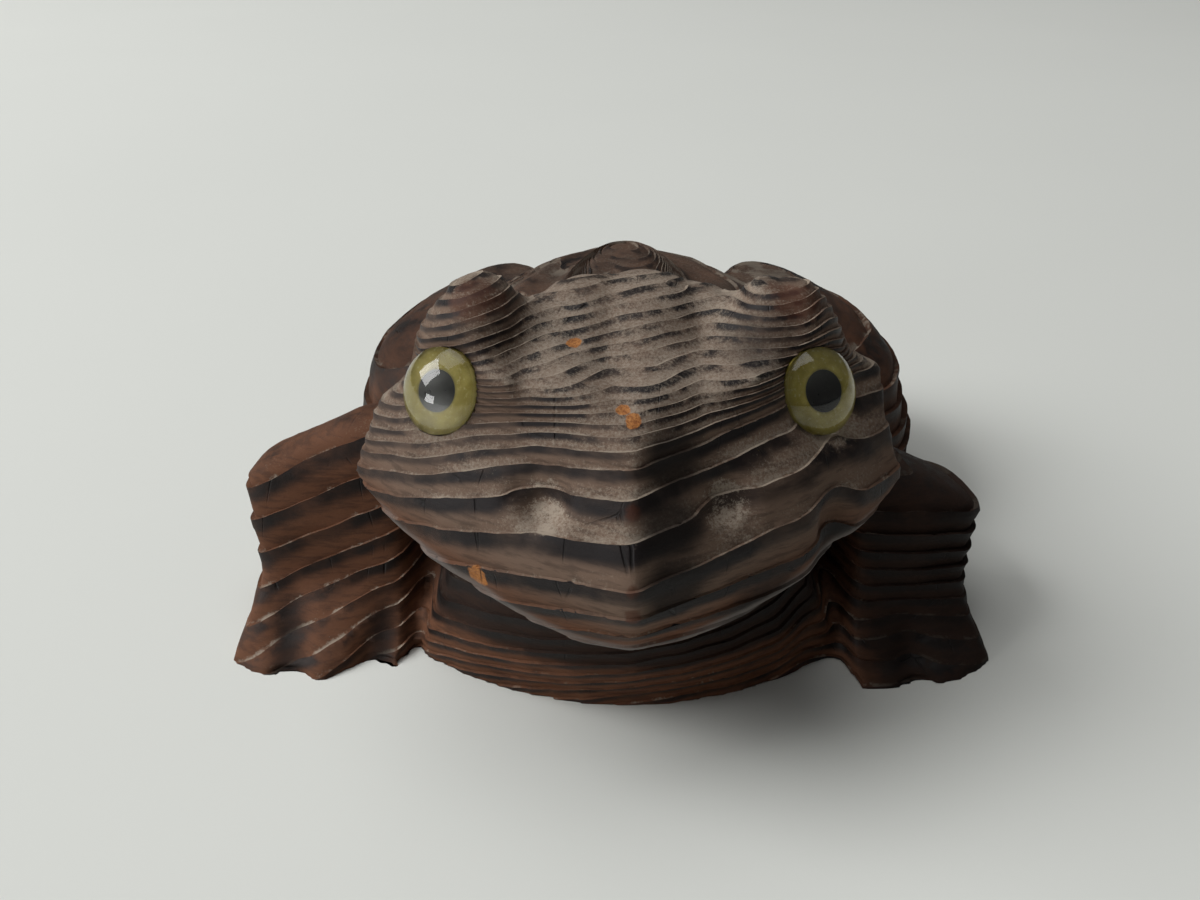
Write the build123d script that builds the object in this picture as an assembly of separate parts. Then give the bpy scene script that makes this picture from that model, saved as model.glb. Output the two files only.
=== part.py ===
"""Carved wooden frog with inset glass eyes, in millimetres.

The figure is cut from one block of softwood whose growth rings lie nearly level. Brushing has worn the
soft wood back, so each ring ends in a proud lip with a ledge over it. Every form is therefore ruled
through the outlines that its rings cut from it, and steps in over each lip.
Each eye is a lampworked glass button on a wire pin, set in a drilled seat with a little glue.

While it is built, the nose is at y = 0 and y is the station, the distance back from the nose.
The frog's left is at +x.
"""

import math
import os

import numpy as np
from build123d import *

# Head: level contours from the chin up to the top of the skull
chin_height = 14.0
lower_jaw_rise = 3.2
upper_jaw_rise = 3.1
lip_rise = 3.0
muzzle_rise = 4.1
cheek_rise = 4.7
eye_level_rise = 4.4
crown_rise = 2.0
chin_half_width = 6.0
lower_jaw_half_width = 15.0
upper_jaw_half_width = 22.3
lip_half_width = 27.5
muzzle_half_width = 27.5
cheek_half_width = 26.0
eye_level_half_width = 23.6
crown_half_width = 18.0
chin_setback = 5.3
lower_jaw_setback = 3.0
upper_jaw_setback = 1.3
muzzle_setback = 1.2
cheek_setback = 5.2
eye_level_setback = 8.9
crown_setback = 12.5
chin_sweep = 14.0
flank_sweep = 27.0
flank_share = 0.6
crown_sweep = 12.0
cheek_sweep = 42.0
cheek_bulge = 0.7
neck_station = 42.0
nape_station = 34.0
neck_share = 0.66

# Brows: a leaning knoll behind each eye, rooted in the skull
brow_spacing = 30.0
brow_station = 25.8
brow_lean = 1.6
brow_rise = 5.1
brow_shoulder_drop = 2.4
brow_root_depth = 4.9
brow_top_half_width = 3.2
brow_top_half_length = 3.4
brow_shoulder_half_width = 5.2
brow_shoulder_half_length = 6.0
brow_root_half_width = 7.6
brow_root_half_length = 8.2

# Forehead: a low mound between the brows
forehead_root_depth = 2.5
forehead_rise = 3.4
forehead_root_half_width = 17.0
forehead_top_half_width = 8.0
forehead_front_station = 11.5
forehead_back_station = 46.0
forehead_front_slope = 15.5
forehead_back_slope = 10.0

# Chest: a full throat that swells out under the chin
chest_setback = 14.2
chest_half_width = 23.6
chest_side_station = 22.0
throat_height = 16.0
throat_setback = 11.0
throat_half_width = 16.0
chest_swell = 1.6

# Trunk: a mound of level ovals, narrow and flat along the spine
trunk_front_station = 20.0
trunk_back_station = 88.0
trunk_half_width = 26.5
trunk_girth_height = 13.0
trunk_base_inset = 4.5
loin_height = 23.0
loin_inset = 2.0
loin_back_inset = 6.5
shoulder_height = 29.5
shoulder_inset = 6.5
shoulder_back_inset = 15.0
back_height = 33.6
back_inset = 12.5
back_back_inset = 23.0

# Spine: a narrow ridge that stands on the back
spine_root_depth = 2.0
spine_rise = 4.6
spine_root_half_width = 10.5
spine_top_half_width = 4.6
spine_front_station = 30.0
spine_back_station = 64.0
spine_top_inset = 8.0

# Fore limbs: leaning arms, the right one cut wider and higher than the left
left_fore_reach = 41.5
right_fore_reach = 45.0
left_fore_height = 18.5
right_fore_height = 22.5
left_fore_inner_station = 16.0
right_fore_inner_station = 19.5
fore_outer_station = 20.5
fore_back_station = 38.0
fore_inner = 25.0
fore_lean = 30.0
fore_foot_length = 3.0
fore_wrist_inset = 1.8
fore_elbow_inset = 0.6
fore_arm_inset = 3.0
fore_shoulder_inset = 13.0
fore_tail = 6.0

# Hind limbs: a tapered haunch over a flat foot
haunch_height = 27.0
left_haunch_spread = 24.0
right_haunch_spread = 21.0
haunch_station = 63.5
haunch_half_width = 14.5
haunch_half_length = 21.5
haunch_turn = 12.0
hip_inset = 4.5
hip_setback = 5.5
hind_reach = 41.0
hind_foot_height = 13.0
hind_inner = 22.0
hind_inner_station = 45.0
hind_outer_station = 48.5
hind_back_station = 67.0
hind_lean = 38.0
hind_ankle_inset = 4.5
hind_shank_inset = 9.0

# Both pairs of limbs: how the level outlines bow and taper
limb_bow = 0.8
limb_outer_taper = 2.0
limb_inner_taper = 4.0
limb_back_skew = 3.0

# Toes: valleys that part the bowed front of each foot, as shares along it with their depths
left_toe_bow = 2.2
right_toe_bow = 3.4
hind_toe_bow = 2.2
toe_valley_width = 16.0
toe_valley_steepness = 3.2
left_toe_valleys = ((0.41, 1.3),)
right_toe_valleys = ((0.18, 3.0), (0.6, 2.0))
hind_toe_valleys = ((0.33, 1.8), (0.67, 1.8))

# Gouge cuts in the face
nostril_spacing = 17.2
nostril_height = 30.0
nostril_gouge_radius = 3.6
nostril_depth = 1.1
mouth_corner_share = 0.27
mouth_corner_length = 13.0
mouth_corner_width = 9.0
left_mouth_corner_depth = 2.2
right_mouth_corner_depth = 0.8

# Eyes: glass buttons on wire pins
eye_diameter = 8.4
eye_spacing = 33.4
eye_height = 34.0
eye_turn = 34.0
eye_lift = 26.0
eye_seat_depth = 2.4
eye_seat_clearance = 0.1
glue_thickness = 0.3
iris_thickness = 1.4
pupil_diameter = 3.4
pupil_thickness = 0.35
cap_edge_thickness = 0.6
cap_dome_height = 2.0
wire_diameter = 1.0
wire_in_iris = 0.8
wire_length = 8.0
wire_clearance = 0.05
seat_drill_run = 20.0

# Growth rings: their widths from the ground up at the middle of the block, and how they are brushed
ring_widths = (1.6, 1.5, 1.5, 1.5, 1.4, 1.5, 1.6, 1.7, 1.9, 2.1, 2.3, 2.6, 3.2, 3.7, 3.7, 3.4, 2.7, 1.6,
               1.1, 1.1, 1.0, 0.9, 0.9, 0.9, 0.9, 0.9)
ring_start = -3.0
ring_tilt = 5.5
ring_depth = 0.35
brow_ring_depth = 0.3
limb_ring_depth = 0.5
ring_ledge = 0.2

# How round forms are faceted, and a length past any edge
oval_sides = 14
far = 200.0


def eased(rows):
    """A function of height that gives smooth values between rows, whose first value is the height."""
    rows = np.array(rows)
    heights = rows[:, 0]
    slopes = np.gradient(rows, heights, axis=0)

    def row_at(height):
        k = int(np.clip(np.searchsorted(heights, height) - 1, 0, len(heights) - 2))
        gap = heights[k + 1] - heights[k]
        t = (height - heights[k]) / gap
        leaving = rows[k] + slopes[k] * gap * t
        arriving = rows[k + 1] - slopes[k + 1] * gap * (1 - t)
        blend = t * t * (3 - 2 * t)
        return [float(value) for value in leaving * (1 - blend) + arriving * blend]

    return row_at


def ring_lips(x, low, high):
    """Heights of the lips at a place across the block, between two heights."""
    lips = ring_start + x * math.tan(math.radians(ring_tilt)) + np.cumsum(ring_widths)
    return [float(lip) for lip in lips if low < lip < high]


def carved(outline, rows, depth):
    """A solid ruled through the outlines that tilted growth rings cut, with a ledge over each."""
    row_at = eased(rows)
    low, high = rows[0][0], rows[-1][0]
    tilt = math.tan(math.radians(ring_tilt))
    across = [x for x, _ in outline(*row_at((low + high) / 2))]
    middle = (min(across) + max(across)) / 2

    def cut(level, slope, inset):
        points = []
        for k in range(len(across)):
            height = level
            # A point's height depends on how far across it is, and that depends on the height.
            for _ in range(4):
                x, y = outline(*row_at(min(max(height, low), high)))[k]
                height = level + (x - middle) * slope
            points.append(Vector(x, y, height))
        centre = sum(points, Vector()) / len(points)
        return Wire.make_polygon([p + (centre - p).normalized() * inset for p in points])

    room_low = tilt * max(abs(x - middle) for x, _ in outline(*row_at(low))) + ring_ledge
    room_high = tilt * max(abs(x - middle) for x, _ in outline(*row_at(high))) + 2 * ring_ledge
    wires = [cut(low, 0, 0)]
    for lip in ring_lips(middle, low + room_low, high - room_high):
        wires.append(cut(lip, tilt, 0))
        wires.append(cut(lip + ring_ledge, tilt, depth))
    wires.append(cut(high, 0, 0))
    return Solid.make_loft(wires, ruled=True)


def bowed(start, end, bow, count):
    """Points from a start up to an end, on a curve that bows to the right of the way there."""
    start, end = np.array(start), np.array(end)
    aside = np.array([end[1] - start[1], start[0] - end[0]]) / np.hypot(*(end - start))
    shares = np.arange(count) / count
    return [tuple(start + (end - start) * t + aside * bow * 4 * t * (1 - t)) for t in shares]


def oval(x, y, half_width, half_length, turn):
    """Points round an ellipse that is turned by an angle."""
    corners = []
    for angle in np.linspace(0, 2 * math.pi, oval_sides, endpoint=False):
        along = Vector(half_width * math.cos(angle), half_length * math.sin(angle)).rotate(Axis.Z, turn)
        corners.append((x + along.X, y + along.Y))
    return corners


def mirrored(points):
    """The same points on the other side of the middle plane, in reverse order."""
    return [(-x, y) for x, y in reversed(points)]


def cheek_corners(setback, half_width, sweep):
    """The two ends of the left cheek: where it meets the flank of the snout, and the corner of the jaw."""
    x = half_width * flank_share
    y = setback + x * math.tan(math.radians(sweep))
    jaw_y = y + (half_width - x) * math.tan(math.radians(cheek_sweep))
    return (x, y), (half_width, jaw_y)


def head_outline(height, setback, half_width, sweep, back):
    """A blunt wedge: a keel at the nose, flat flanks, bulging cheeks, then the neck."""
    nose = (0, setback)
    flank, jaw = cheek_corners(setback, half_width, sweep)
    neck = (half_width * neck_share, back)
    left = bowed(flank, jaw, cheek_bulge, 2) + [jaw, neck]
    return [nose] + left + mirrored(left)


def head_rows():
    """Height, setback, half width, sweep and back station of each named contour of the head."""
    jaw_levels = [
        (chin_height, chin_setback, chin_half_width),
        (lower_jaw_rise, lower_jaw_setback, lower_jaw_half_width),
        (upper_jaw_rise, upper_jaw_setback, upper_jaw_half_width),
        (lip_rise, 0.0, lip_half_width),
    ]
    skull_levels = [
        (muzzle_rise, muzzle_setback, muzzle_half_width, flank_sweep),
        (cheek_rise, cheek_setback, cheek_half_width, flank_sweep),
        (eye_level_rise, eye_level_setback, eye_level_half_width, flank_sweep),
        (crown_rise, crown_setback, crown_half_width, crown_sweep),
    ]
    rows = {}
    height = 0.0
    # The chin is round, and the keel sharpens towards the lip.
    for name, k, (rise, setback, half_width) in zip(
            ("chin", "lower_jaw", "upper_jaw", "lip"), range(4), jaw_levels):
        height += rise
        sweep = chin_sweep + (flank_sweep - chin_sweep) * k / (len(jaw_levels) - 1)
        rows[name] = (height, setback, half_width, sweep, neck_station)
    # The keel fades into the crown, and the skull shortens upwards, so the nape slopes down into the back.
    for name, k, (rise, setback, half_width, sweep) in zip(
            ("muzzle", "cheek", "eye_level", "crown"), range(1, 5), skull_levels):
        height += rise
        back = neck_station + (nape_station - neck_station) * k / len(skull_levels)
        rows[name] = (height, setback, half_width, sweep, back)
    return rows


def make_brow(side, crown_height):
    """A knoll of level ovals on the skull, its top leaning back."""
    rows = [
        (-brow_root_depth, 0.0, brow_root_half_width, brow_root_half_length),
        (brow_rise - brow_shoulder_drop, brow_lean / 2,
         brow_shoulder_half_width, brow_shoulder_half_length),
        (brow_rise, brow_lean, brow_top_half_width, brow_top_half_length),
    ]

    def outline(height, lean, half_width, half_length):
        return oval(side * brow_spacing / 2, brow_station + lean, half_width, half_length, 0)

    return carved(outline, [(crown_height + rise, *rest) for rise, *rest in rows], brow_ring_depth)


def mound_outline(height, half_width, front, back):
    return oval(0, (front + back) / 2, half_width, (back - front) / 2, 0)


def make_forehead(crown_height):
    """A mound of level ovals on the skull that rises from where the keel fades."""
    front, back = forehead_front_station, forehead_back_station
    return carved(mound_outline, [
        (crown_height - forehead_root_depth, forehead_root_half_width, front, back),
        (crown_height + forehead_rise, forehead_top_half_width,
         front + forehead_front_slope, back - forehead_back_slope),
    ], brow_ring_depth)


def chest_outline(height, setback, half_width):
    """A bowed front with straight sides that run back into the trunk."""
    side = (half_width, chest_side_station)
    back = (half_width, neck_station)
    right_back, right_side = mirrored([side, back])
    front = bowed(right_side, side, chest_side_station - setback, 8)
    return front + [side, back, right_back]


def make_chest():
    middle_setback = (chest_setback + throat_setback) / 2 - chest_swell
    middle_half_width = (chest_half_width + throat_half_width) / 2 + chest_swell
    return carved(chest_outline, [
        (0.0, chest_setback, chest_half_width),
        (throat_height / 2, middle_setback, middle_half_width),
        (throat_height, throat_setback, throat_half_width),
    ], ring_depth)


def make_trunk():
    front, back = trunk_front_station, trunk_back_station
    return carved(mound_outline, [
        (0.0, trunk_half_width - trunk_base_inset, front, back),
        (trunk_girth_height, trunk_half_width, front, back),
        (loin_height, trunk_half_width - loin_inset, front, back - loin_back_inset),
        (shoulder_height, trunk_half_width - shoulder_inset, front, back - shoulder_back_inset),
        (back_height, trunk_half_width - back_inset, front, back - back_back_inset),
    ], ring_depth)


def make_spine():
    front, back = spine_front_station, spine_back_station
    return carved(mound_outline, [
        (back_height - spine_root_depth, spine_root_half_width, front, back),
        (back_height + spine_rise, spine_top_half_width, front + spine_top_inset, back - spine_top_inset),
    ], brow_ring_depth)


def limb_outline(side):
    """The level outline of a limb on one side: four corners joined by bowed edges."""
    def outline(height, inner, outer, inner_front, outer_front, back, front_bow):
        corners = [
            (inner, inner_front),
            (outer, outer_front),
            (outer - limb_outer_taper, back),
            (inner - limb_inner_taper, back + limb_back_skew),
        ]
        points = bowed(corners[0], corners[1], front_bow, 4)
        for k in range(1, 4):
            points += bowed(corners[k], corners[(k + 1) % 4], limb_bow, 2)
        return [(side * x, y) for x, y in points]
    return outline


def toe_valley(start, end, bow, share, depth, lean, length):
    """A pyramid cut that parts two toes: wide at the ground, closing up the leaning limb."""
    along = (end - start).normalized()
    back = Vector(0, 1, 0)
    middle = start + (end - start) * share
    front = middle - back * (bow * (1 - (2 * share - 1) ** 2))
    mouth = front - back * bow
    half = along * (toe_valley_width / 2)
    foot = make_face(Polyline(mouth - half, mouth + half, front + back * depth, close=True))
    height = depth * toe_valley_steepness
    top = middle + back * (length + height * math.tan(math.radians(lean)))
    return loft([foot, Vertex(top.X, top.Y, height)], ruled=True)


def make_limb(side, rows, start, end, bow, valleys, lean, length):
    """A limb through its rows of contours, with toes cut between two ground corners."""
    limb = carved(limb_outline(side), rows, limb_ring_depth)
    for share, depth in valleys:
        limb -= toe_valley(start, end, bow, share, depth, lean, length)
    return limb


def make_fore_limb(side, reach, top, inner_station, bow, valleys):
    """A bent arm that leans back from a spread foot to the shoulder."""
    slope = math.tan(math.radians(fore_lean))
    # Share of the height, how far the outer and inner edges draw in, and the bow in front
    stages = [
        (0.0, 0.0, 0.0, bow),
        (0.25, fore_wrist_inset, 0.0, limb_bow),
        (0.58, fore_elbow_inset, 0.0, limb_bow),
        (0.84, fore_arm_inset, fore_arm_inset, limb_bow),
        (1.0, fore_shoulder_inset, fore_shoulder_inset, limb_bow),
    ]
    rows = []
    for share, outer_inset, inner_inset, front_bow in stages:
        lean = top * share * slope + (fore_foot_length if share else 0.0)
        rows.append((top * share, fore_inner - inner_inset, reach - outer_inset, inner_station + lean,
                     fore_outer_station + lean, fore_back_station + fore_tail * share, front_bow))
    start = Vector(side * fore_inner, inner_station)
    end = Vector(side * reach, fore_outer_station)
    return make_limb(side, rows, start, end, bow, valleys, fore_lean, fore_foot_length)


def make_hind_foot(side):
    """A flat foot under the knee that rises into the shank."""
    slope = math.tan(math.radians(hind_lean))
    stages = [
        (0.0, 0.0, hind_toe_bow),
        (0.6, hind_ankle_inset, limb_bow),
        (1.0, hind_shank_inset, limb_bow),
    ]
    rows = []
    for share, inset, bow in stages:
        lean = hind_foot_height * share * slope
        rows.append((hind_foot_height * share, hind_inner, hind_reach - inset, hind_inner_station + lean,
                     hind_outer_station + lean, hind_back_station, bow))
    start = Vector(side * hind_inner, hind_inner_station)
    end = Vector(side * hind_reach, hind_outer_station)
    return make_limb(side, rows, start, end, hind_toe_bow, hind_toe_valleys, hind_lean, 0.0)


def make_haunch(side, spread):
    """A folded thigh: level ellipses turned out at the knee, drawing in towards the hip."""
    # Share of the height, share of the shift in and back, then shares of the width and length
    stages = [
        (0.0, 0.55, 0.84, 0.80),
        (0.3, 0.0, 1.0, 1.0),
        (0.6, 0.15, 0.97, 0.95),
        (0.84, 0.4, 0.82, 0.75),
        (1.0, 1.0, 0.32, 0.38),
    ]

    def outline(height, x, station, half_width, half_length):
        return oval(side * x, station, half_width, half_length, side * haunch_turn)

    return carved(outline, [
        (haunch_height * share, spread - hip_inset * shift, haunch_station + hip_setback * shift,
         haunch_half_width * width_share, haunch_half_length * length_share)
        for share, shift, width_share, length_share in stages
    ], limb_ring_depth)


def first_hit(solid, start, direction):
    """The first point and outward normal that a straight line meets on a solid."""
    hits = solid.find_intersection_points(Axis(start, direction))
    point, normal = min(hits, key=lambda hit: (hit[0] - start).dot(direction))
    return point, (normal if normal.dot(direction) < 0 else normal * -1)


def face_hit(head, x, height):
    """Where the face is met from straight ahead, at a place across and a height."""
    return first_hit(head, Vector(x, -far, height), Vector(0, 1, 0))


def nostril_gouge(head, side):
    point, normal = face_hit(head, side * nostril_spacing / 2, nostril_height)
    return Pos(point + normal * (nostril_gouge_radius - nostril_depth)) * Sphere(nostril_gouge_radius)


def mouth_corner_cut(rows, side, depth):
    """A crease up the cheek, deepest over the lip, which draws in the end of the mouth."""
    turn = math.radians(cheek_sweep)
    outward = Vector(side * math.sin(turn), -math.cos(turn))
    along = Vector(side * math.cos(turn), math.sin(turn))
    height, setback, half_width, sweep, _ = (
        (low + high) / 2 for low, high in zip(rows["lip"], rows["muzzle"]))
    flank, jaw = (Vector(side * x, y, height) for x, y in cheek_corners(setback, half_width, sweep))
    skin = flank + (jaw - flank) * mouth_corner_share + outward * cheek_bulge
    half = along * (mouth_corner_width / 2)
    valley = make_face(Polyline(skin - half + outward * depth, skin + half + outward * depth,
                                skin - outward * depth, close=True))
    ends = [skin + Vector(0, 0, way * mouth_corner_length / 2) for way in (-1, 1)]
    low, high = (Vertex(end.X, end.Y, end.Z) for end in ends)
    return loft([low, valley, high], ruled=True)


def eye_plane(head, side):
    """The seat floor of an eye, with z pointing out of the head."""
    lift = math.radians(eye_lift)
    turn = math.radians(eye_turn) * side
    aim = Vector(math.sin(turn) * math.cos(lift), -math.cos(turn) * math.cos(lift), math.sin(lift))
    inside = Vector(side * eye_spacing / 2, neck_station / 2, eye_height)
    surface, _ = first_hit(head, inside + aim * far, aim * -1)
    return Plane(origin=surface - aim * eye_seat_depth, x_dir=Vector(0, 0, 1).cross(aim), z_dir=aim)


def standing(radius, low, high):
    """A round bar on the local z axis between two heights."""
    return Pos(0, 0, low) * Cylinder(radius, high - low, align=(Align.CENTER, Align.CENTER, Align.MIN))


def make_eye():
    """The pieces of one eye over its seat floor, and the hole that they need."""
    eye_radius = eye_diameter / 2
    wire_radius = wire_diameter / 2
    seat_radius = eye_radius + eye_seat_clearance
    iris_low = glue_thickness
    iris_high = iris_low + iris_thickness
    rim_high = iris_high + cap_edge_thickness
    wire_high = iris_low + wire_in_iris
    wire_low = wire_high - wire_length
    pupil = standing(pupil_diameter / 2, iris_high - pupil_thickness, iris_high)
    wire = standing(wire_radius, wire_low, wire_high)
    iris = standing(eye_radius, iris_low, iris_high) - pupil - wire
    glue = standing(seat_radius, 0, iris_low) - wire
    half_section = make_face([
        Line((0, iris_high), (eye_radius, iris_high)),
        Line((eye_radius, iris_high), (eye_radius, rim_high)),
        SagittaArc((eye_radius, rim_high), (0, rim_high + cap_dome_height), -dome_bulge()),
        Line((0, rim_high + cap_dome_height), (0, iris_high)),
    ])
    cap = revolve(Plane.XZ * half_section, Axis.Z)
    hole = standing(seat_radius, 0, seat_drill_run)
    hole += standing(wire_radius + wire_clearance, wire_low, 0)
    return {"iris": iris, "pupil": pupil, "cap": cap, "wire": wire, "glue": glue}, hole


def dome_bulge():
    """How far the dome of a cap stands off the chord from its rim to its crest."""
    eye_radius = eye_diameter / 2
    ball_radius = (eye_radius ** 2 + cap_dome_height ** 2) / (2 * cap_dome_height)
    chord = math.hypot(eye_radius, cap_dome_height)
    return ball_radius - math.sqrt(ball_radius ** 2 - (chord / 2) ** 2)


def make_body():
    """The smooth head, which places the eyes, and the whole body before its seats are drilled."""
    rows = head_rows()
    skull = list(rows.values())
    head = carved(head_outline, skull, 0)
    forms = [
        make_forehead(rows["crown"][0]),
        make_spine(),
        make_chest(),
        carved(head_outline, skull, ring_depth),
        make_fore_limb(1, left_fore_reach, left_fore_height, left_fore_inner_station,
                       left_toe_bow, left_toe_valleys),
        make_fore_limb(-1, right_fore_reach, right_fore_height, right_fore_inner_station,
                       right_toe_bow, right_toe_valleys),
        make_haunch(1, left_haunch_spread),
        make_haunch(-1, right_haunch_spread),
    ]
    cuts = [
        mouth_corner_cut(rows, 1, left_mouth_corner_depth),
        mouth_corner_cut(rows, -1, right_mouth_corner_depth),
    ]
    for side in (1, -1):
        forms += [make_brow(side, rows["crown"][0]), make_hind_foot(side)]
        cuts.append(nostril_gouge(head, side))
    return head, make_trunk() + forms - cuts


def main():
    head, body = make_body()
    eye_pieces, eye_hole = make_eye()
    nodes = {}
    for name, side in (("left", 1), ("right", -1)):
        seat = eye_plane(head, side)
        body -= seat * eye_hole
        for piece, shape in eye_pieces.items():
            nodes[f"{name}_eye_{piece}"] = seat * shape
    nodes["carved_body"] = body
    box = body.bounding_box()
    to_origin = Pos(-box.center().X, -box.center().Y)
    os.makedirs("parts", exist_ok=True)
    for name, shape in nodes.items():
        export_step(to_origin * shape, f"parts/{name}.step")
    print("size", box.size, "moved by", to_origin.position)


main()
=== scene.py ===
"""A carved wooden frog with inset glass eyes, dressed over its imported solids, in metres."""

import bisect
import math

import bmesh
import bpy
from mathutils import Matrix, Vector, kdtree, noise


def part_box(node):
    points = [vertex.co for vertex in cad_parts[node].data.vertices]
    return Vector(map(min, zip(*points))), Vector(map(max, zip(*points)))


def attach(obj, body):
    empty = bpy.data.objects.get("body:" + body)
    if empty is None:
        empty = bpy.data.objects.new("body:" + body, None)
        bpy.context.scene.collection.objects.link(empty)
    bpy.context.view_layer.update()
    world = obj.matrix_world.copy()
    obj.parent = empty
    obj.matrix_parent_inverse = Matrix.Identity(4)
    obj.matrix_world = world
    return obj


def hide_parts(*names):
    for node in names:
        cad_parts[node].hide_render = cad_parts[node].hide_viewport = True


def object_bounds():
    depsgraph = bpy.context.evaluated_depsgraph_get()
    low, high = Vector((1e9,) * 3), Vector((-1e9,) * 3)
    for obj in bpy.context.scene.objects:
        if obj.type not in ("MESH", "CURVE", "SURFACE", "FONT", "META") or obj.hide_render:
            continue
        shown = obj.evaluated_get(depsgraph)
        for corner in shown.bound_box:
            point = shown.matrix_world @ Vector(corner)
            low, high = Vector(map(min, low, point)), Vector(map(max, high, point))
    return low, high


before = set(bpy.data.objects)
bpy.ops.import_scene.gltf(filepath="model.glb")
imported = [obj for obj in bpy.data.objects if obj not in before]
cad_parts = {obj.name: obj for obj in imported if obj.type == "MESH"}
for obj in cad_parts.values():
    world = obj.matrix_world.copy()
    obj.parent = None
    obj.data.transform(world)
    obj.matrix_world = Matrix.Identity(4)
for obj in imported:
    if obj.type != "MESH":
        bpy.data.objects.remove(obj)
cad_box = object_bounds()


# The carved body: one block of softwood, shaped with knife and gouge, then charred and wire-brushed, so
# that the soft early wood of each growth ring is worn back and the hard late wood stands proud as a lip.
# Two flat-bottomed seats are drilled in the face for the eyes, each with a pilot hole for a wire.
mm = 0.001
sides = {"left": 1, "right": -1}
middle = sum(corner.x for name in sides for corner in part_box(f"{name}_eye_wire")) / 4
nose = cad_box[0][1]
block_voxel = 0.7 * mm
weld_distance = 0.002 * mm
sole_height = 1.4 * mm
crisp_angle = math.radians(42)

# Eye seats: the way each one faces, its sizes, and the plug that fills it while the block is carved
seat_turn = math.radians(34)
seat_lift = math.radians(26)
seat_radius = 4.3 * mm
seat_depth = 2.4 * mm
seat_run = 20 * mm
seat_segments = 96
pilot_depth = 7.2 * mm
plug_overlap = 0.4 * mm
plug_recess = 0.6 * mm
plug_segments = 48
glue_thickness = 0.3 * mm

# Growth rings, in mm: heights of their lips at the middle of the block, and how they bend, wave and wear
ring_lips = (-6.0, -4.5, -3.0, -1.4, 0.1, 1.6, 3.1, 4.5, 6.0, 7.6, 9.3, 11.2, 13.3, 15.6, 18.2, 21.4,
             25.1, 28.8, 31.6, 33.6, 34.9, 35.9, 36.8, 37.7, 38.6, 39.5, 40.4, 41.3, 42.2, 43.1, 44.0,
             44.9, 45.8, 46.8, 47.8, 48.8, 49.8, 50.8, 52.0, 53.4, 55.0, 57.0, 59.0)
ring_radius = 137
ring_crest = 21
ring_waves = ((0.5, 17), (0.25, 5), (0.08, 2.2))
crown_pitch = 0.2
nape_pitch = 0.25
ring_dip_across = 19.4
ring_dip_width = 2.4
ring_depth = 0.33
limb_ring_depth = 0.75
ledge_height = 0.13
lip_tolerance = 1e-4
chip_depth = 0.25
brush_marks = 0.05

# Gouge work, in mm
facet_depth = 0.16
flute_depth = 0.55
flute_spacing = 8.5
flute_shift = 1.7
flute_wander = 0.8
pit_depth = 0.8
pit_roughness = 0.7
crease_across = 19.6
crease_width = 1.7
crease_depth = 0.9
toe_gaps = (-38, -27.5, 31.8)
toe_gap_width = 2.2
toe_gap_depth = 0.9

# Lower edge of the jaw, in mm: its height under the chin, and how it climbs outside the chin
jaw_height = 14
jaw_climb = 0.4
chin_half_width = 4

# Marks on the body: across, station behind the nose, height and radius, in mm
nostrils = [(side * 8.6, 8, 30, 4.4) for side in sides.values()]
bare_chips = [(-14, 9, 21.4, 3.0), (-5.5, 22, 39.5, 1.8), (0, 10.5, 37, 2.0), (-1, 12, 37.5, 1.6)]
# Painted shade: spots by the nostrils, on the keel's shaded flank, the jaw and cheek there, and one brow
shade_spots = [(-7.5, 8, 32.2, 2.2), (9.5, 8, 32.2, 2.2), (3.5, 3, 24, 6), (3.5, 5, 29, 6),
               (4, 8, 34, 6), (12, 9, 18, 8), (20, 14, 20, 6)]
brow_shade_spot = [(12, 21, 39.5, 7)]
rubbed_edges = [(-15, 25, 41.5, 6), (16, 25, 41.5, 6), (0, 1, 21.5, 2.0), (0, 0.5, 25, 2.0),
                (0, 4, 31, 2.0)]


def seat_frame(name):
    """Where an eye's seat floor is: its middle, with z along the drill and out of the head."""
    across = math.sin(seat_turn) * math.cos(seat_lift) * sides[name]
    aim = Vector((across, -math.cos(seat_turn) * math.cos(seat_lift), math.sin(seat_lift)))
    low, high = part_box(f"{name}_eye_glue")
    floor = (low + high) / 2 - aim * glue_thickness / 2
    return Matrix.Translation(floor) @ aim.to_track_quat("Z", "Y").to_matrix().to_4x4()


def round_bar(bm, radius, low, high, place, segments):
    """A closed round bar between two heights of a place's own z axis."""
    shift = Matrix.Translation((0, 0, (low + high) / 2))
    bmesh.ops.create_cone(bm, cap_ends=True, segments=segments, radius1=radius, radius2=radius,
                          depth=high - low, matrix=place @ shift)


def new_object(name, bm):
    """A mesh object at the origin from a bmesh, which is used up."""
    mesh = bpy.data.meshes.new(name)
    bm.to_mesh(mesh)
    bm.free()
    piece = bpy.data.objects.new(name, mesh)
    bpy.context.scene.collection.objects.link(piece)
    return piece


def settle(piece):
    """Make what a piece's modifiers give its own mesh."""
    graph = bpy.context.evaluated_depsgraph_get()
    mesh = bpy.data.meshes.new_from_object(piece.evaluated_get(graph))
    piece.modifiers.clear()
    piece.data = mesh


def eased(start, end, value):
    """0 up to a start and 1 from an end on, eased in between. The end may lie below the start."""
    share = min(max((value - start) / (end - start), 0.0), 1.0)
    return share * share * (3 - 2 * share)


def ripple(point, size):
    """Smooth noise from -1 to 1 whose waves are about a size in mm."""
    return noise.noise(point / (size * mm))


def place_of(point):
    """How far a point is across from the middle, behind the nose and above the ground, in mm."""
    return (point.x - middle) / mm, (point.y - nose) / mm, point.z / mm


def nearness(point, spots):
    """1 in the middle of the nearest of some spots, falling to 0 at their radii."""
    here = Vector(place_of(point))
    return max(1 - eased(0, spot[3], (here - Vector(spot[:3])).length) for spot in spots)


def toe_gap(point):
    """1 in the bottom of the hollows between the toes of the fore feet, falling to 0 at their sides."""
    across, station, height = place_of(point)
    hollow = max(math.exp(-((across - gap) / toe_gap_width) ** 2) for gap in toe_gaps)
    return hollow * eased(9, 2, height) * eased(32, 26, station)


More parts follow.
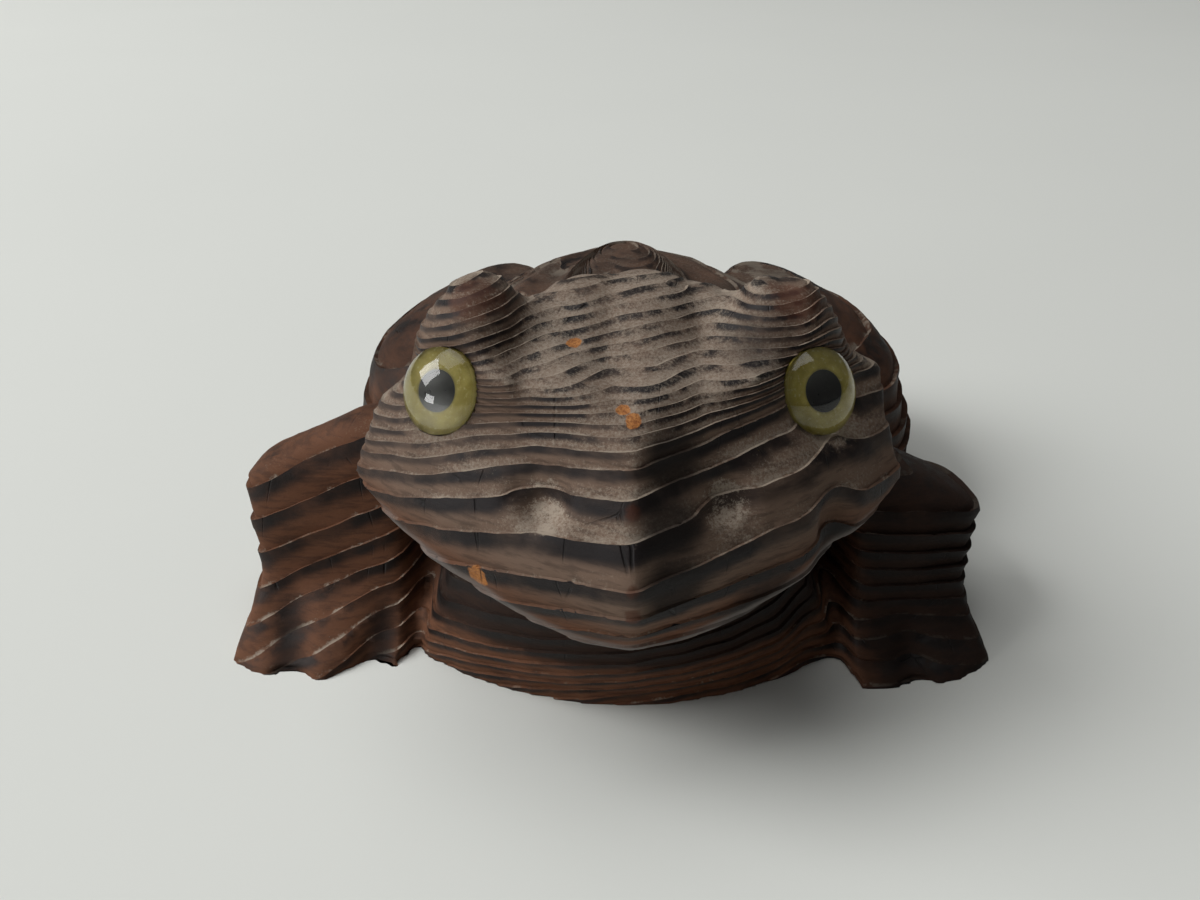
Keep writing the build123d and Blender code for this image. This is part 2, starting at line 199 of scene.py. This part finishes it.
def convexity(vert):
    """How sharply the skin turns away round a point, 0 where it is flat."""
    runs = [(vert.co - edge.other_vert(vert).co).normalized() for edge in vert.link_edges]
    return sum(run.dot(vert.normal) for run in runs) / len(runs)


def cut_along(normal, height):
    """The way a cut goes into the skin: along its normal, but level near the ground."""
    return Vector((normal.x, normal.y, normal.z * eased(0.4, 2, height)))


def gouged(point):
    """How deep the gouge has cut below the smooth form, in mm."""
    across, station, height = place_of(point)
    facet = facet_depth + facet_depth * ripple(point, 7)
    on_forehead = eased(35.5, 38.5, height) * eased(54, 46, station)
    wander = across + flute_shift + flute_wander * ripple(point, 9)
    flute = flute_depth * on_forehead * (1 - abs(math.sin(math.pi * wander / flute_spacing)))
    pit = nearness(point, nostrils) * (pit_depth + pit_roughness * ripple(point, 1.7))
    crease = crease_depth * math.exp(-((across - crease_across) / crease_width) ** 2)
    crease *= eased(17, 21, height) * eased(30, 26, height) * eased(36, 28, station)
    return facet + flute + pit + crease + toe_gap_depth * toe_gap(point)


def ring_at(point):
    """How many growth rings a point lies above the lowest lip, with the share of the next one."""
    across, station, height = place_of(point)
    wave = sum(depth * ripple(point, size) for depth, size in ring_waves)
    bend = (ring_crest * across - across * across / 2) / ring_radius
    pitch = crown_pitch * max(station - 8, 0) + nape_pitch * max(station - 32, 0)
    pitch *= eased(34.5, 38.5, height)
    dip = math.exp(-((across - ring_dip_across) / ring_dip_width) ** 2) * eased(36, 24, station)
    level = height - bend + wave + pitch - dip
    k = min(max(bisect.bisect_right(ring_lips, level) - 1, 0), len(ring_lips) - 2)
    return k + min(max((level - ring_lips[k]) / (ring_lips[k + 1] - ring_lips[k]), 0.0), 1.0)


def on_limb(across, height):
    """1 on the limbs, 0 on the head and the trunk."""
    return eased(24, 29, abs(across)) * eased(27, 22, height)


def brushed_depth(point, ring_share):
    """How far the brush has worn a point back, in mm: most just above a lip, least just below one."""
    across, _, height = place_of(point)
    limb = on_limb(across, height)
    depth = ring_depth + (limb_ring_depth - ring_depth) * limb
    depth *= 1 - 0.8 * limb * eased(8, 4, height)
    worn = depth * (0.8 + 0.5 * ripple(point, 6)) * (1 - ring_share ** 1.2)
    return worn + chip_depth * nearness(point, bare_chips) + brush_marks + brush_marks * ripple(point, 1.3)


def brownness(point):
    """How brown the wood is: the limbs and the lower parts most, the back half as much."""
    across, station, height = place_of(point)
    low_down = eased(22, 15, height - abs(across) * 0.3)
    return max(on_limb(across, height), eased(36, 46, station) * 0.5, low_down)


def painted_shade_and_dark_back(point):
    """Painted shade on spots, the left arm, under the chin, one brow and between the toes, and a darker
    back.
    """
    across, station, height = place_of(point)
    # Painted shade: the left arm, the throat under the chin, one brow, and the hollows between the toes.
    left_arm_shade = 0.8 * eased(20, 30, across) * eased(24, 19, height) * eased(50, 40, station)
    throat_shade = eased(4, 9, height) * eased(16, 13.5, height) * eased(9, 11, station)
    throat_shade *= eased(26, 20, abs(across))
    # Darker towards the back.
    back = 0.5 * eased(37, 45, station)
    brow_shade = 0.6 * nearness(point, brow_shade_spot)
    return max(nearness(point, shade_spots), left_arm_shade, throat_shade, back, brow_shade, 0.8 * toe_gap(point))


def jaw_highlight(point, normal):
    """1 on the lower edge of the jaw, where a pale line of painted highlight goes, and 0 away from it."""
    across, station, height = place_of(point)
    rise = height - jaw_height - jaw_climb * max(abs(across) - chin_half_width, 0)
    band = eased(-0.8, 0.2, rise) * eased(2.4, 1.2, rise)
    return band * eased(19, 14, station) * eased(0.1, 0.4, -normal.y)


# The block is remeshed evenly, with its eye seats plugged until the carving is done.
block = bmesh.new()
block.from_mesh(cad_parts["carved_body"].data)
bmesh.ops.remove_doubles(block, verts=block.verts, dist=weld_distance)
for name in sides:
    round_bar(block, seat_radius + plug_overlap, -pilot_depth - plug_overlap, seat_depth - plug_recess,
              seat_frame(name), plug_segments)
wood = new_object("carved_wood", block)
remesh = wood.modifiers.new("even", "REMESH")
remesh.mode = "VOXEL"
remesh.voxel_size = block_voxel
settle(wood)

# The forms are softened, the forehead and the arms most, the soles are set level, and all is gouged.
carving = bmesh.new()
carving.from_mesh(wood.data)
crown = [vert for vert in carving.verts if vert.co.z > 36 * mm]
forehead = [vert for vert in crown
            if abs(vert.co.x - middle) < 11 * mm and vert.co.y > nose + 11 * mm]
arms = [vert for vert in carving.verts
        if abs(vert.co.x - middle) > 20 * mm and 5 * mm < vert.co.z < 25 * mm]
for verts, rounds in ((carving.verts, 7), (crown, 6), (forehead, 30), (arms, 25)):
    for _ in range(rounds):
        bmesh.ops.smooth_vert(carving, verts=verts, factor=0.5,
                              use_axis_x=True, use_axis_y=True, use_axis_z=True)
carving.normal_update()
for vert in carving.verts:
    if vert.co.z < sole_height and vert.normal.z < -0.2:
        vert.co.z = 0.0
carving.normal_update()
cuts = [gouged(vert.co) * mm for vert in carving.verts]
for vert, cut in zip(carving.verts, cuts):
    vert.co -= cut_along(vert.normal, vert.co.z / mm) * cut

# Each lip is cut into the mesh twice, at the edge and just above it, with the mesh stretched so that
# growth rings lie level.
carving.normal_update()
turns = [convexity(vert) for vert in carving.verts]
home = carving.verts.layers.float_vector.new("home")
ring = carving.verts.layers.float.new("ring")
turn = carving.verts.layers.float.new("turn")
for vert, value in zip(carving.verts, turns):
    vert[home] = vert.co
    vert[turn] = value
    vert.co.z = ring_at(vert.co)
for k in range(1, len(ring_lips) - 1):
    ledge = ledge_height / (ring_lips[k + 1] - ring_lips[k])
    for level in (k, k + ledge):
        near = [face for face in carving.faces
                if min(vert.co.z for vert in face.verts) <= level <= max(vert.co.z for vert in face.verts)]
        edges = {edge for face in near for edge in face.edges}
        corners = {vert for face in near for vert in face.verts}
        bmesh.ops.bisect_plane(carving, geom=list(corners) + list(edges) + near, dist=1e-6,
                               plane_co=(0, 0, level), plane_no=(0, 0, 1))
for vert in carving.verts:
    vert[ring] = vert.co.z
    vert.co = vert[home]
carving.normal_update()

# The early wood is brushed back from the skin. What the material reads is kept for each point.
marks = ("ring", "up", "brown", "hollow", "chip", "rubbed", "shade_and_dark_back", "edge", "jaw_rim_highlight")
brushed = []
skin = [(vert, vert.co.copy(), vert.normal.copy()) for vert in carving.verts]
for vert, point, normal in skin:
    on_lip = abs(vert[ring] - round(vert[ring])) < lip_tolerance
    worn = brushed_depth(point, 1.0 if on_lip else vert[ring] % 1.0)
    vert.co = point - cut_along(normal, point.z / mm) * worn * mm
    brushed.append((vert.co.copy(), vert[ring], normal.z, brownness(point), nearness(point, nostrils),
                    nearness(point, bare_chips), nearness(point, rubbed_edges), painted_shade_and_dark_back(point),
                    eased(0.03, 0.13, vert[turn]), jaw_highlight(point, normal)))
wood.data = bpy.data.meshes.new("carved_wood")
carving.to_mesh(wood.data)
carving.free()

# The seats are drilled last, clean through the brushed skin.
drill = bmesh.new()
for name in sides:
    round_bar(drill, seat_radius, 0, seat_run, seat_frame(name), seat_segments)
cutter = new_object("drill", drill)
bore = wood.modifiers.new("seats", "BOOLEAN")
bore.operation = "DIFFERENCE"
bore.solver = "MANIFOLD"
bore.object = cutter
settle(wood)
bpy.data.objects.remove(cutter)

# Each point of the drilled mesh takes over what the nearest brushed point keeps.
tree = kdtree.KDTree(len(brushed))
for k, entry in enumerate(brushed):
    tree.insert(entry[0], k)
tree.balance()
for name in ("home", "ring", "turn"):
    if name in wood.data.attributes:
        wood.data.attributes.remove(wood.data.attributes[name])
nearest = [brushed[tree.find(vert.co)[1]] for vert in wood.data.vertices]
for column, name in enumerate(marks, start=1):
    layer = wood.data.attributes.new(name, "FLOAT", "POINT")
    layer.data.foreach_set("value", [entry[column] for entry in nearest])
wood.data.polygons.foreach_set("use_smooth", [True] * len(wood.data.polygons))
wood.data.set_sharp_from_angle(angle=crisp_angle)


class Value:
    """What a socket gives over a surface, with the operators that join it to numbers and others."""

    def __init__(self, finish, socket):
        self.finish = finish
        self.socket = socket

    def joined(self, operation, *values):
        return self.finish.node("Math", {"operation": operation}, dict(enumerate(values)))

    def __add__(self, other):
        return self.joined("ADD", self, other)

    def __sub__(self, other):
        return self.joined("SUBTRACT", self, other)

    def __rsub__(self, other):
        return self.joined("SUBTRACT", other, self)

    def __mul__(self, other):
        return self.joined("MULTIPLY", self, other)

    __radd__ = __add__
    __rmul__ = __mul__

    def fract(self):
        return self.joined("FRACT", self)

    def between(self, low, high):
        """0 below a low value and 1 above a high one, eased in between."""
        return self.finish.node("MapRange", {"interpolation_type": "SMOOTHSTEP"},
                                {"Value": self, "From Min": low, "From Max": high})


class Finish:
    """A material with one surface shader, and the nodes that feed it."""

    def __init__(self, name):
        self.material = bpy.data.materials.new(name)
        self.material.use_nodes = True
        self.tree = self.material.node_tree
        self.shader = self.tree.nodes["Principled BSDF"]

    def node(self, kind, settings, inputs, output=0):
        """Add a node: its settings first, then the values or links of its sockets."""
        node = self.tree.nodes.new("ShaderNode" + kind)
        for name, value in settings.items():
            setattr(node, name, value)
        self.feed(node, inputs)
        return Value(self, node.outputs[output])

    def feed(self, node, inputs):
        for name, value in inputs.items():
            if isinstance(value, Value):
                self.tree.links.new(value.socket, node.inputs[name])
            else:
                node.inputs[name].default_value = value

    def surface(self, **inputs):
        self.feed(self.shader, {name.replace("_", " "): value for name, value in inputs.items()})

    def attribute(self, name):
        return self.node("Attribute", {"attribute_name": name}, {}, output=2)

    def place(self, scale):
        """Object coordinates, stretched by a scale on each axis."""
        spot = self.node("TexCoord", {}, {}, output=3)
        return self.node("Mapping", {}, {"Vector": spot, "Scale": scale})

    def grain(self, vector, scale, detail=3.0, roughness=0.55):
        return self.node("TexNoise", {}, {"Vector": vector, "Scale": scale, "Detail": detail,
                                          "Roughness": roughness})

    def blend(self, factor, first, second):
        """A colour between two colours."""
        return self.node("Mix", {"data_type": "RGBA"}, {0: factor, 6: first, 7: second}, output=2)

    def relief(self, height, strength, distance):
        return self.node("Bump", {}, {"Height": height, "Strength": strength, "Distance": distance})


def srgb(red, green, blue):
    """A colour as a screen shows it, from 0 to 255, made linear."""
    return tuple(((c / 255 + 0.055) / 1.055) ** 2.4 if c > 10 else c / 255 / 12.92
                 for c in (red, green, blue)) + (1.0,)


early_grey = srgb(104, 85, 72)
early_brown = srgb(94, 61, 42)
late_black = srgb(20, 14, 15)
late_brown = srgb(18, 12, 10)
fibre_dark = srgb(30, 22, 20)
rubbed_red = srgb(74, 38, 22)
dust_grey = srgb(152, 141, 127)
chip_brown = srgb(122, 68, 30)
chip_gold = srgb(186, 124, 60)
shade_black = srgb(15, 9, 7)
highlight_grey = srgb(116, 110, 106)
crack_black = srgb(14, 11, 11)
wood_sheen = 0.2
bump_strength = 0.5
bump_depth = 0.25 * mm

# Grain of the wood and where each ring is in its year: 0 just above a lip, 1 just below the next
charred = Finish("charred_brushed_wood")
spot = charred.place((1, 1, 1))
fibre = charred.grain(charred.place((0.35, 0.35, 2.2)), 900, detail=5, roughness=0.65)
speck = charred.grain(spot, 3400, detail=6, roughness=0.85)
cloud = charred.grain(spot, 160, detail=4)
patch = charred.grain(spot, 420, detail=4)
phase = (charred.attribute("ring") + (fibre - 0.5) * 0.06).fract()
upward = charred.attribute("up")
brown = charred.attribute("brown")
worn_smooth = charred.attribute("rubbed")
hollow = (charred.attribute("hollow") + (patch - 0.5) * 1.5 + (speck - 0.5) * 1.2).between(0.4, 0.95)

# Pale early wood and dark late wood, broken on top of the head, with dark fibres and rubbed edges
late = phase.between(0.3, 0.8) * (0.7 + cloud.between(0.35, 0.65) * 0.3) * (1 - brown * 0.15)
late = late * (1 - upward.between(0.55, 0.9) * patch.between(0.42, 0.58) * 0.65)
early_colour = charred.blend(brown, early_grey, early_brown)
late_colour = charred.blend(brown, late_black, late_brown)
colour = charred.blend((late + (cloud - 0.5) * 0.6).between(0, 1), early_colour, late_colour)
colour = charred.blend(fibre.between(0.45, 0.65) * 0.4, colour, fibre_dark)
colour = charred.blend((worn_smooth + (patch - 0.5) * 1.2).between(0.35, 0.7) * 0.6, colour, rubbed_red)

# Dust on what faces up, on ledges and in hollows, paler along sharp edges, less dust on late wood and
# brown wood
ledge = (1 - phase.between(0.02, 0.22)) * patch.between(0.4, 0.62)
dust = upward.between(0.05, 0.95) * 0.72 + ledge * 0.4 + hollow * 0.75
dust = dust + (speck - 0.5) * 2.4 + (cloud - 0.5) * 0.5 + charred.attribute("edge") * 0.3
dust = dust - late * 0.7 * (1 - upward.between(0.4, 0.9) * 0.4)
dust = dust - brown * 0.5 * (1 - ledge) - worn_smooth * 0.45
colour = charred.blend(dust.between(0.3, 1.0) * 0.75, colour, dust_grey)

# Bare chips, painted shade, a darker back, a painted highlight on the jaw's edge, and cracks in the late
# wood
bare = (charred.attribute("chip") + (patch - 0.5) * 0.8).between(0.5, 0.6)
bare_colour = charred.blend(speck.between(0.35, 0.65), chip_brown, chip_gold)
colour = charred.blend(bare * 0.85, colour, bare_colour)
# Painted shade from the marks on the body, and the back made darker, in near black.
shade_and_dark_back = (charred.attribute("shade_and_dark_back") + (cloud - 0.5) * 0.6).between(0.1, 0.8)
colour = charred.blend(shade_and_dark_back * 0.86, colour, shade_black)
# Painted highlight: a pale grey line along the lower edge of the jaw.
colour = charred.blend(charred.attribute("jaw_rim_highlight") * (0.35 + patch * 0.6), colour, highlight_grey)
crack_lines = charred.node("TexVoronoi", {"feature": "DISTANCE_TO_EDGE"},
                           {"Vector": charred.place((1, 1, 0.12)), "Scale": 210, "Randomness": 1.0})
crack = (1 - crack_lines.between(0.004, 0.02)) * late * cloud.between(0.52, 0.6)
colour = charred.blend(crack * 0.8, colour, crack_black)

fine_relief = fibre * 0.5 + speck * 0.35 - crack * 1.2
charred.surface(Base_Color=colour, Roughness=0.78 - late * 0.3 + dust.between(0, 1) * 0.15,
                Normal=charred.relief(fine_relief, bump_strength, bump_depth))
charred.shader.inputs["Specular IOR Level"].default_value = wood_sheen
wood.data.materials.clear()
wood.data.materials.append(charred.material)
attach(wood, "root")
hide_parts("carved_body")


# The irises: each is a flat button of cloudy yellow-green glass that sits on the glue, with a shallow
# well in front for the pupil and a hole behind for the wire. It fills the drilled seat.
iris_radius = 4.2 * mm
iris_low = 0.3 * mm
iris_high = 1.7 * mm
iris_bevel = 0.08 * mm
iris_rows = 6
eye_segments = 72
pupil_radius = 1.7 * mm
pupil_depth = 0.35 * mm
wire_radius = 0.5 * mm
wire_reach = 0.8 * mm
eye_crisp_angle = math.radians(35)
olive = srgb(130, 116, 38)
straw = srgb(160, 146, 72)
olive_edge = srgb(96, 84, 34)
olive_shade = srgb(48, 44, 22)
pale_fleck = srgb(200, 194, 150)


def turned(name, profile, place, segments):
    """A closed round piece: a half section of (radius, height) points spun about its own z axis."""
    bm = bmesh.new()
    points = [bm.verts.new((radius, 0, height)) for radius, height in profile]
    edges = [bm.edges.new(pair) for pair in zip(points, points[1:])]
    bmesh.ops.spin(bm, geom=points + edges, cent=(0, 0, 0), axis=(0, 0, 1), angle=math.tau,
                   steps=segments, use_merge=True)
    bmesh.ops.remove_doubles(bm, verts=bm.verts, dist=0.001 * mm)
    bmesh.ops.recalc_face_normals(bm, faces=bm.faces)
    bmesh.ops.transform(bm, matrix=place, verts=bm.verts)
    piece = new_object(name, bm)
    piece.data.polygons.foreach_set("use_smooth", [True] * len(piece.data.polygons))
    piece.data.set_sharp_from_angle(angle=eye_crisp_angle)
    return piece


def add_distance(piece, place, radius):
    """Store how far out each point of a round piece is, as a share of its radius."""
    inverse = place.inverted()
    layer = piece.data.attributes.new("outward", "FLOAT", "POINT")
    shares = [(inverse @ vert.co).xy.length / radius for vert in piece.data.vertices]
    layer.data.foreach_set("value", shares)


iris_glass = Finish("cloudy_iris_glass")
spot = iris_glass.place((1, 1, 1))
outward = iris_glass.attribute("outward")
cloud = iris_glass.grain(spot, 700, detail=4)
speck = iris_glass.grain(spot, 3200, detail=3)
colour = iris_glass.blend(cloud.between(0.3, 0.7), olive, straw)
colour = iris_glass.blend(outward.between(0.72, 1.0) * 0.6, colour, olive_edge)
colour = iris_glass.blend((1 - outward.between(0.4, 0.46)) * 0.5, colour, olive_shade)
colour = iris_glass.blend(speck.between(0.55, 0.75) * 0.35, colour, pale_fleck)
iris_glass.surface(Base_Color=colour, Roughness=0.3 + cloud * 0.2)

well_floor = iris_high - pupil_depth
iris_back = [(0, iris_low + wire_reach), (wire_radius, iris_low + wire_reach), (wire_radius, iris_low)]
iris_edge = [(iris_radius - iris_bevel, iris_low), (iris_radius, iris_low + iris_bevel),
             (iris_radius, iris_high)]
iris_front = [(pupil_radius + (iris_radius - pupil_radius) * k / iris_rows, iris_high)
              for k in reversed(range(iris_rows))]
iris_well = [(pupil_radius, well_floor), (0, well_floor)]
for name in sides:
    place = seat_frame(name)
    iris = turned(f"{name}_iris", iris_back + iris_edge + iris_front + iris_well, place, eye_segments)
    add_distance(iris, place, iris_radius)
    iris.data.materials.append(iris_glass.material)
    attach(iris, "root")
    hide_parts(f"{name}_eye_iris")


# The pupils: a dot of black glass is melted into the front of each iris, flush with it, before the
# clear cap goes on. Its lower edge is a little round where it ran into its well.
pupil_bevel = 0.05 * mm
pupil_segments = 48
pupil_black = srgb(6, 6, 7)
pupil_haze = srgb(26, 26, 24)
pupil_glass = Finish("black_pupil_glass")
cloud = pupil_glass.grain(pupil_glass.place((1, 1, 1)), 1500, detail=4)
pupil_glass.surface(Base_Color=pupil_glass.blend(cloud.between(0.5, 0.75), pupil_black, pupil_haze),
                    Roughness=0.2 + cloud * 0.25)
pupil_profile = [(0, well_floor), (pupil_radius - pupil_bevel, well_floor),
                 (pupil_radius, well_floor + pupil_bevel), (pupil_radius, iris_high), (0, iris_high)]
for name in sides:
    pupil = turned(f"{name}_pupil", pupil_profile, seat_frame(name), pupil_segments)
    pupil.data.materials.append(pupil_glass.material)
    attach(pupil, "root")
    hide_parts(f"{name}_eye_pupil")


# The caps: a clear gather of glass is melted over each iris and pupil, and draws itself into a low dome
# with a short straight rim.
cap_rim = 0.6 * mm
cap_sink = 0.02 * mm
cap_dome = 2.0 * mm
cap_rows = 20
cap_tint = (0.97, 0.98, 0.93, 1.0)
glass_ior = 1.5
ball_radius = (iris_radius ** 2 + cap_dome ** 2) / (2 * cap_dome)
rim_angle = math.asin(iris_radius / ball_radius)
ball_middle = iris_high + cap_rim + cap_dome - ball_radius
dome_angles = [rim_angle * (1 - k / cap_rows) for k in range(cap_rows + 1)]
cap_profile = [(0, iris_high - cap_sink), (iris_radius - cap_sink, iris_high - cap_sink),
               (iris_radius, iris_high)]
cap_profile += [(ball_radius * math.sin(angle), ball_middle + ball_radius * math.cos(angle))
                for angle in dome_angles]
clear_glass = Finish("clear_cap_glass")
smear = clear_glass.grain(clear_glass.place((1, 1, 1)), 420, detail=3)
clear_glass.surface(Base_Color=cap_tint, Roughness=0.01 + smear.between(0.55, 0.8) * 0.06)
clear_glass.shader.inputs["Transmission Weight"].default_value = 1.0
clear_glass.shader.inputs["IOR"].default_value = glass_ior
for name in sides:
    cap = turned(f"{name}_cap", cap_profile, seat_frame(name), eye_segments)
    cap.data.materials.append(clear_glass.material)
    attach(cap, "root")
    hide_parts(f"{name}_eye_cap")


# The wires and the glue: a pin of drawn steel wire is fused in the back of each eye and pushed in the
# pilot hole, and a thin bed of amber glue holds the glass to the floor of its seat. Neither shows from
# outside, and the solids already have the shape.
steel_light = srgb(150, 146, 140)
steel_dark = srgb(112, 106, 98)
amber_light = srgb(150, 112, 60)
amber_dark = srgb(108, 76, 38)
drawn_steel = Finish("drawn_steel_wire")
scratch = drawn_steel.grain(drawn_steel.place((1, 1, 1)), 1800, detail=4)
drawn_steel.surface(Base_Color=drawn_steel.blend(scratch, steel_light, steel_dark),
                    Roughness=0.25 + scratch * 0.3, Metallic=1.0)
amber_glue = Finish("dried_amber_glue")
cloud = amber_glue.grain(amber_glue.place((1, 1, 1)), 900, detail=4)
amber_glue.surface(Base_Color=amber_glue.blend(cloud, amber_light, amber_dark),
                   Roughness=0.35 + cloud * 0.25)
for name in sides:
    for part, finish in (("wire", drawn_steel), ("glue", amber_glue)):
        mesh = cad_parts[f"{name}_eye_{part}"].data
        mesh.materials.clear()
        mesh.materials.append(finish.material)


# The stage: a pale table, a soft window high on the left, a soft light overhead, a small pane low at the
# front left that glints in the eyes, a dim room, and the camera at the photograph's angle.
table_half = 3.0
table_tones = srgb(212, 214, 209), srgb(216, 218, 213)
lit_point = (0, 0, 0.02)
room_colour = (1.0, 0.99, 0.97, 1.0)
room_strength = 0.07
camera_shift = -2.9 * mm
camera_distance = 78.9 * mm
camera_height = 85.3 * mm
camera_tilt = math.radians(60)

table = bmesh.new()
bmesh.ops.create_grid(table, x_segments=1, y_segments=1, size=table_half)
floor = new_object("table", table)
pale = Finish("pale_table")
cloud = pale.grain(pale.place((1, 1, 1)), 9, detail=2)
pale.surface(Base_Color=pale.blend(cloud, *table_tones), Roughness=0.8)
floor.data.materials.append(pale.material)


def soft_lamp(name, place, size, power):
    """A square lamp that faces the figurine."""
    lamp = bpy.data.lights.new(name, "AREA")
    lamp.shape = "RECTANGLE"
    lamp.size = size
    lamp.size_y = size
    lamp.energy = power
    holder = bpy.data.objects.new(name, lamp)
    facing = (Vector(lit_point) - Vector(place)).to_track_quat("-Z", "Y").to_matrix().to_4x4()
    holder.matrix_world = Matrix.Translation(place) @ facing
    bpy.context.scene.collection.objects.link(holder)


soft_lamp("window", place=(-1.30, 0.00, 1.10), size=1.1, power=27.5)
soft_lamp("overhead", place=(-0.30, 0.50, 1.80), size=1.6, power=13.0)
soft_lamp("pane", place=(-0.65, -0.46, 0.06), size=0.26, power=2.0)

world = bpy.data.worlds.new("room")
bpy.context.scene.world = world
world.use_nodes = True
world.node_tree.nodes["Background"].inputs["Color"].default_value = room_colour
world.node_tree.nodes["Background"].inputs["Strength"].default_value = room_strength

lens = bpy.data.cameras.new("photo_camera")
lens.sensor_width = 36.0
lens.lens = 34.5
lens.clip_start = 0.005
camera = bpy.data.objects.new("photo_camera", lens)
camera.location = (middle + camera_shift, nose - camera_distance, camera_height)
camera.rotation_euler = (camera_tilt, 0, 0)
bpy.context.scene.collection.objects.link(camera)
bpy.context.scene.camera = camera
bpy.context.scene.view_settings.view_transform = "Standard"
